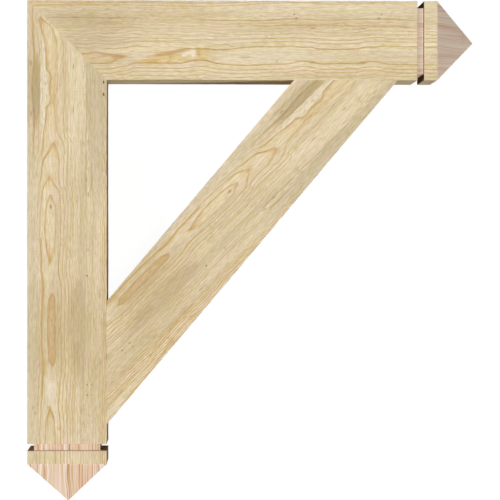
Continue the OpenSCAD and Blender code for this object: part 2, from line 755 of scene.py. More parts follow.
@dataclass(frozen=True)
class SawnFir(Finish):
    """Rough-sawn fir, as it comes off the saw.

    Attributes:
        pale, dull, young_latewood, latewood, fleck, worn: Its colours.
        ring_cover, fleck_cover, worn_cover: How much of its colour each of these shows at most.
        young_levels: From how much latewood to how much its colour ripens.
        streak_shade, fine_shade, saw_shade: How much each lightens the wood, from the base shade up.
        fibre_tint, flush_tint: How much a fibre's shade and a flush move red, green and blue.
        ring_height, streak_height, fine_height, saw_height: How high each stands in the bumps.
        ring_sheen, fine_sheen: How much each changes the roughness.
        edge: The pattern that makes the edges of patches uneven.
    """

    roughness: float = 0.82
    specular: float = 0.3
    bump: float = 0.35 * MM
    pale: str = "e8d7b4"
    dull: str = "d8c5a1"
    young_latewood: str = "dfbb74"
    latewood: str = "bb8d46"
    fleck: str = "b48c4c"
    worn: str = "ecdcc0"
    ring_cover: float = 0.95
    fleck_cover: float = 0.55
    worn_cover: float = 0.25
    young_levels: tuple[float, float] = (0.3, 1.0)
    streak_shade: float = 0.12
    fine_shade: float = 0.27
    saw_shade: float = 0.012
    base_shade: float = -0.185
    fibre_tint: tuple[float, float, float] = (0.80, 1.0, 1.7)
    flush_tint: tuple[float, float, float] = (0.03, -0.02, 0.16)
    ring_height: float = 0.5
    streak_height: float = 0.5
    fine_height: float = 0.35
    saw_height: float = 0.25
    ring_sheen: float = -0.1
    fine_sheen: float = 0.08
    edge: Mottle = Mottle(45, 3, seed=9, detail=2)
    title = "sawn_fir"

    def draw(self, sheet: NodeSheet, wood: Wood, spot: Socket) -> tuple[Socket, Socket, Socket]:
        """Adds the nodes of the finish. See Finish.draw."""
        place = wood.grain.find(sheet, spot)
        latewood, strength = wood.heart.rings(sheet, place)
        fibres = sheet.group(SawnFibres().tree(), Place=place)
        edges = sheet.group(Arris().tree(), Place=wood.fit.find(sheet, spot), Timber=wood.fit.timber)
        colour = sheet.blend(sheet.span(fibres["Tone"], *WIDE), paint(self.dull), paint(self.pale))
        ridge = ring_share = sheet.times(latewood, strength)
        edge = sheet.centred(sheet.noise(place, self.edge))
        for patch in wood.patches:
            mask = patch.mask(sheet, place, edge)
            colour = sheet.blend(sheet.times(mask, patch.strength), colour, paint(patch.colour))
            ring_share = sheet.times(ring_share, sheet.line(mask, -patch.hides_rings, 1.0))
        ripeness = sheet.span(latewood, *self.young_levels)
        ring_colour = sheet.blend(ripeness, paint(self.young_latewood), paint(self.latewood))
        colour = sheet.blend(sheet.times(ring_share, self.ring_cover), colour, ring_colour)
        streak, fine = sheet.span(fibres["Streak"], *CLOSE), sheet.span(fibres["Fine Streak"], *WIDE)
        shade = sheet.line(streak, self.streak_shade, self.base_shade)
        shade = sheet.line(fine, self.fine_shade, shade)
        shade = sheet.line(fibres["Saw Mark"], self.saw_shade, shade)
        flush = sheet.centred(sheet.span(fibres["Flush"], *WIDE))
        tint = sheet.vector("MULTIPLY_ADD", flush, self.flush_tint, (1.0, 1.0, 1.0))
        tint = sheet.vector("MULTIPLY_ADD", shade, self.fibre_tint, tint)
        colour = sheet.blend(1.0, colour, tint, "MULTIPLY")
        colour = sheet.blend(sheet.times(fibres["Fleck"], self.fleck_cover), colour, paint(self.fleck))
        colour = sheet.blend(sheet.times(edges["Mask"], self.worn_cover), colour, paint(self.worn))
        roughness = sheet.line(fine, self.fine_sheen, sheet.line(ridge, self.ring_sheen, self.roughness))
        height = sheet.line(ridge, self.ring_height, sheet.times(streak, self.streak_height))
        height = sheet.line(fine, self.fine_height, height)
        return colour, roughness, sheet.line(fibres["Saw Mark"], self.saw_height, height)


@dataclass(frozen=True)
class PlanedFir(Finish):
    """Fir cut across its layers with a fine blade: pinker than the sawn faces, in straight stripes.

    Attributes:
        ground, flushed, stripe, pale: Its colours.
        contrast: How strongly its stripes show.
        fine_shade, fine_sheen: How much a fine streak lightens it and changes its roughness.
        stripe_height: How high a stripe stands in the bumps.
    """

    roughness: float = 0.62
    specular: float = 0.3
    bump: float = 0.12 * MM
    ground: str = "f2d9be"
    flushed: str = "f1ceb0"
    stripe: str = "cf9450"
    pale: str = "fff3e6"
    contrast: float = 1.0
    fine_shade: float = 0.06
    fine_sheen: float = 0.1
    stripe_height: float = 0.5
    title = "planed_fir"

    def draw(self, sheet: NodeSheet, wood: Wood, spot: Socket) -> tuple[Socket, Socket, Socket]:
        """Adds the nodes of the finish. See Finish.draw."""
        place = wood.fit.find(sheet, spot)
        stripes = sheet.group(CutStripes().tree(), Place=place, Timber=wood.fit.timber, Seed=wood.seed)
        fibres = sheet.group(SawnFibres().tree(), Place=place)
        flush = sheet.span(stripes["Flush"], *CLOSE)
        colour = sheet.blend(flush, paint(self.ground), paint(self.flushed))
        for streak, shown in (("Pale Streak", self.pale), ("Stripe", self.stripe)):
            colour = sheet.blend(sheet.times(stripes[streak], self.contrast), colour, paint(shown))
        fine = sheet.span(fibres["Fine Streak"], *WIDE)
        shade = sheet.line(fine, self.fine_shade, 1.0 - self.fine_shade / 2)
        colour = sheet.blend(1.0, colour, sheet.join(shade, shade, shade), "MULTIPLY")
        roughness = sheet.line(fine, self.fine_sheen, self.roughness)
        return colour, roughness, sheet.line(stripes["Stripe"], self.stripe_height, fine)


@dataclass(frozen=True)
class EndGrainFir(Finish):
    """Fir sawn square across the fibres, darker than the sawn faces. The walls of the grooves use it, and its
    darkness there is partly painted shade.

    Attributes:
        ground: Its colour.
        ring_shade: How dark a ring is against it.
        ring_height: How high a ring stands in the bumps.
        grit: The pattern of its pores.
        grit_shade, grit_sheen: How much that changes its shade and its roughness.
    """

    roughness: float = 0.85
    specular: float = 0.2
    bump: float = 0.3 * MM
    ground: str = "d0b090"
    ring_shade: float = 0.55
    ring_height: float = 0.5
    grit: Mottle = Mottle(1.5, 1.1, seed=15, detail=2)
    grit_shade: float = 0.5
    grit_sheen: float = 0.1
    title = "end_grain"

    def draw(self, sheet: NodeSheet, wood: Wood, spot: Socket) -> tuple[Socket, Socket, Socket]:
        """Adds the nodes of the finish. See Finish.draw."""
        place = wood.grain.find(sheet, spot)
        latewood, _ = wood.heart.rings(sheet, place)
        grit = sheet.noise(place, self.grit)
        shade = sheet.line(grit, self.grit_shade, 1.0 - self.grit_shade / 2)
        shade = sheet.times(shade, sheet.line(latewood, self.ring_shade - 1.0, 1.0))
        colour = sheet.blend(1.0, paint(self.ground), sheet.join(shade, shade, shade), "MULTIPLY")
        roughness = sheet.line(grit, self.grit_sheen, self.roughness)
        return colour, roughness, sheet.line(latewood, self.ring_height, grit)


@dataclass(frozen=True)
class ShapedEnd:
    """The groove, block and point that are cut at the end of a timber.

    Attributes:
        point: Length of the four-sided point.
        block: Length of the full-size block behind it.
        groove: Width and depth of the groove behind the block.
        blunt: Width of the flat that is left at the tip.
    """

    point: float = 76.2 * MM
    block: float = 25.4 * MM
    groove: float = 12.7 * MM
    blunt: float = 1.2 * MM

    @property
    def length(self) -> float:
        """The length of the end, from the shaft to the tip."""
        return self.groove + self.block + self.point


@dataclass(frozen=True)
class Plane:
    """A cut through a timber on the bench.

    Attributes:
        corner: A point on it.
        outward: Its unit normal, towards the waste.
    """

    corner: Vector
    outward: Vector
    within = 0.5 * MM

    def holds(self, *corners: Corner) -> bool:
        """Whether all of these vertices lie on the plane."""
        return all(abs((corner.co - self.corner).dot(self.outward)) < self.within for corner in corners)


class Workpiece:
    """One mesh on the bench, shaped with the edit-mode tools.

    Attributes:
        most_cuts: The most cuts that one subdivision makes.
        sharp: The least turn at an edge that is an arris.
    """

    most_cuts = 100
    sharp = math.radians(30)

    def __init__(self, name: str, low: Vector, high: Vector) -> None:
        """Starts from a squared block.

        Args:
            name: The name of the piece.
            low: The block's lowest corner.
            high: Its highest corner.
        """
        bpy.ops.object.select_all(action="DESELECT")
        bpy.ops.mesh.primitive_cube_add(size=1.0, location=(low + high) / 2, scale=high - low)
        self.body = bpy.context.object
        self.body.name = self.body.data.name = name
        self.joints: list[Plane] = []
        bpy.ops.object.transform_apply(location=True, rotation=False, scale=True)

    def edit(self, part: Part, whole: bool = False) -> bmesh.types.BMesh:
        """Goes into edit mode.

        Args:
            part: What is selected there.
            whole: Whether everything is selected at first, or nothing.

        Returns:
            The mesh in edit mode.
        """
        bpy.ops.object.mode_set(mode="EDIT")
        bpy.ops.mesh.select_mode(type=part.name)
        bpy.ops.mesh.select_all(action="SELECT" if whole else "DESELECT")
        return bmesh.from_edit_mesh(self.body.data)

    def done(self) -> None:
        """Goes back to object mode."""
        bpy.ops.object.mode_set(mode="OBJECT")

    def pick(self, part: Part, wanted: Callable[..., bool]) -> int:
        """Goes into edit mode and selects parts by their place, direction or normal.

        Args:
            part: The kind of part.
            wanted: Says whether a part is selected.

        Returns:
            How many were selected.
        """
        mesh = self.edit(part)
        chosen = [item for item in getattr(mesh, part.value) if wanted(item)]
        for item in chosen:
            item.select_set(True)
        mesh.select_flush_mode()
        bmesh.update_edit_mesh(self.body.data, loop_triangles=False, destructive=False)
        return len(chosen)

    def split_edges(self, wanted: Callable[[Edge], bool], cell: float) -> None:
        """Cuts edges into pieces no longer than a cell, all into the same number.

        Args:
            wanted: Says whether an edge is cut.
            cell: The longest piece of the longest edge.
        """
        mesh = self.edit(Part.EDGE)
        longest = max((edge.calc_length() for edge in mesh.edges if wanted(edge)), default=0.0)
        self.done()
        pieces = max(1, math.ceil(longest / cell))
        if pieces > self.most_cuts:
            first = math.ceil(pieces / self.most_cuts) + 1
            self.cut_once(wanted, first)
            pieces = math.ceil(pieces / first)
        self.cut_once(wanted, pieces)

    def cut_once(self, wanted: Callable[[Edge], bool], pieces: int) -> None:
        """Cuts edges once.

        Args:
            wanted: Says whether an edge is cut.
            pieces: How many pieces each is cut into.
        """
        if self.pick(Part.EDGE, wanted) and pieces > 1:
            bpy.ops.mesh.subdivide(number_cuts=pieces - 1, smoothness=0.0)
        self.done()

    def mark(self, group: str, wanted: Callable[[Corner], bool]) -> None:
        """Puts vertices in a vertex group.

        Args:
            group: The group's name.
            wanted: Says whether a vertex is in it.
        """
        self.body.vertex_groups.active = self.body.vertex_groups.new(name=group)
        self.pick(Part.VERT, wanted)
        bpy.ops.object.vertex_group_assign()
        self.done()

    def dress(self, slot: Cut, wanted: Callable[[Face], bool]) -> None:
        """Gives faces one of the piece's materials.

        Args:
            slot: How the faces were cut.
            wanted: Says whether a face is one of them.
        """
        self.body.active_material_index = slot.value
        if self.pick(Part.FACE, wanted):
            bpy.ops.object.material_slot_assign()
        self.done()

    def saw_joint(self, corner: Vector, outward: Vector) -> None:
        """Saws off all that lies beyond a plane, and leaves a joint face there.

        Args:
            corner: A point on the plane.
            outward: The plane's normal, towards the waste.
        """
        self.joints.append(Plane(corner, outward))
        self.edit(Part.FACE, whole=True)
        bpy.ops.mesh.bisect(plane_co=corner, plane_no=outward, use_fill=True, clear_outer=True)
        self.done()

    def on_joint(self, part: Edge | Face) -> bool:
        """Whether an edge or a face lies on one of the joint faces."""
        return any(joint.holds(*part.verts) for joint in self.joints)

    def ease(self, width: float) -> None:
        """Eases the arrises, and leaves the edges of the joints sharp so that they close.

        Args:
            width: How wide the eased arrises are.
        """

        def is_arris(edge: Edge) -> bool:
            """Whether an edge is an arris."""
            turned = edge.is_manifold and edge.is_convex and edge.calc_face_angle() > self.sharp
            return turned and not self.on_joint(edge)

        self.pick(Part.EDGE, is_arris)
        bpy.ops.mesh.bevel(offset=width, segments=2, affect="EDGES")
        self.done()

    def open_joints(self) -> None:
        """Takes out the joint faces, so that they stay flat and whole while the rest is cut into cells."""
        self.pick(Part.FACE, self.on_joint)
        bpy.ops.mesh.delete(type="FACE")
        self.done()

    def close_joints(self) -> None:
        """Closes each joint again with one flat face of end grain."""
        self.body.active_material_index = Cut.END_GRAIN.value
        for joint in self.joints:
            self.pick(Part.EDGE, lambda edge, joint=joint: edge.is_boundary and joint.holds(*edge.verts))
            bpy.ops.mesh.edge_face_add()
            bpy.ops.object.material_slot_assign()
            self.done()
        self.edit(Part.FACE, whole=True)
        bpy.ops.mesh.normals_make_consistent(inside=False)
        self.done()


@dataclass
class SawnRelief:
    """The relief of a sawn timber: raised latewood, saw ripples, a little wind, and chipped arrises.

    Attributes:
        latewood, streak, ripple, wind, chip: How far each moves the surface.
        ripples, winds: The patterns of two of them.
        planed_share: How much of it is left on planed surfaces.
    """

    latewood: float = 0.22 * MM
    streak: float = 0.18 * MM
    ripple: float = 0.10 * MM
    wind: float = 0.5 * MM
    chip: float = 1.1 * MM
    ripples: Mottle = Mottle(14, 70, seed=17)
    winds: Mottle = Mottle(260, 190, seed=16)
    planed_share: float = 0.25

    def apply(self, body: bpy.types.Object, wood: Wood) -> None:
        """Moves the surface of a timber that is in its place.

        Args:
            body: The timber.
            wood: Its wood.
        """
        tree = bpy.data.node_groups.new(f"{body.name}_relief", TreeKind.SHAPE.value)
        for way in ("INPUT", "OUTPUT"):
            tree.interface.new_socket(name="Geometry", in_out=way, socket_type="NodeSocketGeometry")
        sheet = NodeSheet(tree)
        entry = sheet.add("NodeGroupInput").outputs[0]
        spot = sheet.add("GeometryNodeInputPosition").outputs[0]
        height = self.height(sheet, wood, spot)
        normal = sheet.add("GeometryNodeInputNormal").outputs[0]
        offset = sheet.add("ShaderNodeVectorMath", {0: normal, "Scale": height}, operation="SCALE").outputs[0]
        moved = sheet.add("GeometryNodeSetPosition", {"Geometry": entry, "Offset": offset}).outputs[0]
        sheet.add("NodeGroupOutput", {0: moved})
        relief = body.modifiers.new("relief", "NODES")
        relief.node_group = tree
        bpy.ops.object.modifier_apply(modifier=relief.name)

    def height(self, sheet: NodeSheet, wood: Wood, spot: Socket) -> Socket:
        """Adds the nodes of the relief's height.

        Args:
            sheet: The sheet of the relief's tree.
            wood: The timber's wood.
            spot: The point in the bracket.

        Returns:
            How far the surface moves out.
        """
        place, shape = wood.grain.find(sheet, spot), TreeKind.SHAPE
        latewood, strength = wood.heart.rings(sheet, place, shape)
        fibres = sheet.group(SawnFibres().tree(shape), Place=place)
        edges = sheet.group(Arris().tree(shape), Place=wood.fit.find(sheet, spot), Timber=wood.fit.timber)
        broad, ripple = sheet.noise(place, self.winds), sheet.noise(place, self.ripples)
        height = sheet.times(sheet.times(latewood, strength), self.latewood)
        for value, reach in ((fibres["Streak"], self.streak), (ripple, self.ripple), (broad, self.wind)):
            height = sheet.line(sheet.centred(value), 2 * reach, height)
        planed = self.named(sheet, "planed")
        height = sheet.times(height, sheet.line(planed, self.planed_share - 1.0, 1.0))
        chip = sheet.times(edges["Chip"], sheet.minus(1.0, planed))
        height = sheet.line(chip, -self.chip, height)
        return sheet.times(height, sheet.minus(1.0, self.named(sheet, "joint")))

    @staticmethod
    def named(sheet: NodeSheet, group: str) -> Socket:
        """Returns the weight of a vertex group."""
        return sheet.add("GeometryNodeInputNamedAttribute", {"Name": group}, data_type="FLOAT").outputs[0]


@dataclass
class Timber:
    """A square timber of the bracket.

    Attributes:
        wood: Its wood, which also says where it goes.
        finishes: Its finishes, in the order of Cut.
        cell_across, cell_along: The size of a mesh cell across the grain and along it.
        eased: Width of the eased arrises.
        level, running: An edge lies across the timber if it runs less than the first along it, and
            along the timber if it runs more than the second.
        smooth: The greatest turn at an edge that looks smooth.
    """

    wood: Wood
    finishes: tuple[Finish, ...] = (SawnFir(), PlanedFir(), EndGrainFir())
    cell_across: float = 2.0 * MM
    cell_along: float = 4.5 * MM
    eased: float = 0.3 * MM
    level: float = 1 * MM
    running: float = 1.5 * MM
    smooth: float = math.radians(38)

    def block_out(self) -> Workpiece:
        """Models the timber's plain form on the bench, with its joints sawn, and returns it."""
        raise NotImplementedError

    def make(self) -> bpy.types.Object:
        """Models the timber, puts it in the bracket and dresses it.

        Returns:
            The finished piece.
        """
        piece = self.block_out()
        for finish in self.finishes:
            piece.body.data.materials.append(finish.material(self.wood))
        self.dress(piece)
        piece.ease(self.eased)
        piece.open_joints()
        self.lay_grid(piece)
        piece.close_joints()
        piece.mark("joint", lambda corner: any(joint.holds(corner) for joint in piece.joints))
        piece.mark("planed", self.is_planed)
        self.put_in_place(piece.body)
        SawnRelief().apply(piece.body, self.wood)
        bpy.ops.object.shade_smooth_by_angle(angle=self.smooth)
        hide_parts(self.wood.name)
        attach(piece.body, "root")
        return piece.body

    def dress(self, piece: Workpiece) -> None:
        """Gives the joint faces end grain. The rest is sawn."""
        piece.dress(Cut.END_GRAIN, piece.on_joint)

    def lay_grid(self, piece: Workpiece) -> None:
        """Cuts the faces into a fine grid that the relief can move.

        Args:
            piece: The timber on the bench, with its joints open.
        """
        long_edge = self.wood.fit.timber / 4

        def travel(edge: Edge) -> float:
            """Returns how far an edge runs along the timber."""
            return abs(edge.verts[0].co.x - edge.verts[1].co.x)

        def crosswise(edge: Edge) -> bool:
            """Whether an edge is a long one across the timber."""
            return (travel(edge) < self.level or piece.on_joint(edge)) and edge.calc_length() > long_edge

        piece.split_edges(crosswise, self.cell_across)
        for low, high in self.sections():

            def lengthwise(edge: Edge, low: float = low, high: float = high) -> bool:
                """Whether an edge runs along this section of the timber."""
                middle = (edge.verts[0].co.x + edge.verts[1].co.x) / 2
                return travel(edge) > self.running and low < middle < high and not piece.on_joint(edge)

            piece.split_edges(lengthwise, self.cell_along)

    def sections(self) -> list[tuple[float, float]]:
        """The stretches along the timber that are cut into cells one by one."""
        return [(-math.inf, math.inf)]

    def is_planed(self, corner: Corner) -> bool:
        """Whether a vertex lies on a planed surface."""
        return False

    def put_in_place(self, body: bpy.types.Object) -> None:
        """Moves the finished piece from the bench to its place.

        Args:
            body: The piece.
        """
        fit = self.wood.fit
        bpy.ops.object.select_all(action="DESELECT")
        body.select_set(True)
        bpy.context.view_layer.objects.active = body
        body.rotation_euler = (0.0, 0.0, fit.turn)
        body.location = (fit.origin.x, fit.origin.y, fit.show_height - fit.timber)
        bpy.ops.object.transform_apply(location=True, rotation=True, scale=True)


@dataclass
class MitredTimber(Timber):
    """A timber with a mitre at one end and a groove, block and point at the other.

    Attributes:
        length: Its length along the first arris, from the corner to the tip.
        end: The shaped end.
        square_on: How much of a face's normal lies along the timber where it is cut square across.
    """

    length: float = 1.0
    end: ShapedEnd = ShapedEnd()
    square_on: float = 0.9

    @property
    def shaft(self) -> float:
        """The length of the plain shaft."""
        return self.length - self.end.length

    def block_out(self) -> Workpiece:
        """Models the shaft, its shaped end and its mitre. See Timber.block_out."""
        side, hand = self.wood.fit.timber, self.wood.fit.hand
        near, far = sorted((0.0, hand * side))
        piece = Workpiece(self.wood.name, Vector((0.0, near, 0.0)), Vector((self.shaft, far, side)))
        self.draw_out_end(piece)
        piece.saw_joint(Vector((0.0, 0.0, 0.0)), Vector((-1.0, hand, 0.0)).normalized())
        return piece

    def draw_out_end(self, piece: Workpiece) -> None:
        """Draws out the groove, the block and the point from the end of the shaft.

        Args:
            piece: The shaft on the bench.
        """
        side, end = self.wood.fit.timber, self.end
        middle = Vector((0.0, self.wood.fit.hand * side / 2, side / 2))
        neck, tip = side - 2 * end.groove, end.blunt / side
        piece.pick(Part.FACE, lambda face: face.normal.x > self.square_on)
        bpy.ops.mesh.inset(thickness=end.groove)
        reach = end.point - end.blunt / 2
        for run, grown in ((end.groove, 1.0), (0.0, side / neck), (end.block, 1.0), (reach, tip)):
            bpy.ops.mesh.extrude_region_move(TRANSFORM_OT_translate={"value": (run, 0.0, 0.0)})
            if grown != 1.0:
                bpy.ops.transform.resize(value=(1.0, grown, grown), center_override=middle)
        piece.done()

    def dress(self, piece: Workpiece) -> None:
        """Gives the groove's walls end grain, and its floor and the point the planed finish.

        Args:
            piece: The timber on the bench.
        """
        super().dress(piece)
        walls = (self.shaft, self.shaft + self.end.groove)

        def wall(face: Face) -> bool:
            """Whether a face is a wall of the groove."""
            off = min(abs(face.calc_center_median().x - place) for place in walls)
            return abs(face.normal.x) > self.square_on and off < self.level

        def planed(face: Face) -> bool:
            """Whether a face is the floor of the groove or belongs to the point."""
            middle = face.calc_center_median().x
            return not wall(face) and (walls[0] < middle < walls[1] or middle > walls[1] + self.end.block)

        piece.dress(Cut.END_GRAIN, wall)
        piece.dress(Cut.PLANED, planed)

    def sections(self) -> list[tuple[float, float]]:
        """The shaft, the groove, the block and the point."""
        stops = [self.shaft, self.shaft + self.end.groove, self.shaft + self.end.groove + self.end.block]
        return list(zip([-math.inf, *stops], [*stops, math.inf], strict=True))

    def is_planed(self, corner: Corner) -> bool:
        """Whether a vertex lies in the groove or on the point. See Timber.is_planed."""
        (_, groove), (_, block), (_, point), _ = self.sections()
        half, along = self.wood.fit.timber / 2, corner.co.x
        off = max(abs(corner.co.y - self.wood.fit.hand * half), abs(corner.co.z - half))
        sunk = off < half - self.end.groove / 2
        return sunk and groove - self.level < along < block + self.level or along > point + self.level


@dataclass
class BraceTimber(Timber):
    """The diagonal brace, cut at both ends to lie against the arm and the post.

    Attributes:
        head: A point of the bench on the cut under the arm, on the last arris.
        foot: A point of the bench on the cut against the post, on the last arris.
    """

    head: Vector = field(default_factory=Vector)
    foot: Vector = field(default_factory=Vector)

    def block_out(self) -> Workpiece:
        """Models the brace as a longer block with both ends sawn off. See Timber.block_out."""
        side, turn = self.wood.fit.timber, self.wood.fit.turn
        spare = side / 4
        low, high = Vector((self.head.x - spare, 0.0, 0.0)), Vector((self.foot.x + spare, side, side))
        piece = Workpiece(self.wood.name, low, high)
        piece.saw_joint(self.head, Vector((math.sin(turn), math.cos(turn), 0.0)))
        piece.saw_joint(self.foot, Vector((-math.cos(turn), math.sin(turn), 0.0)))
        return piece


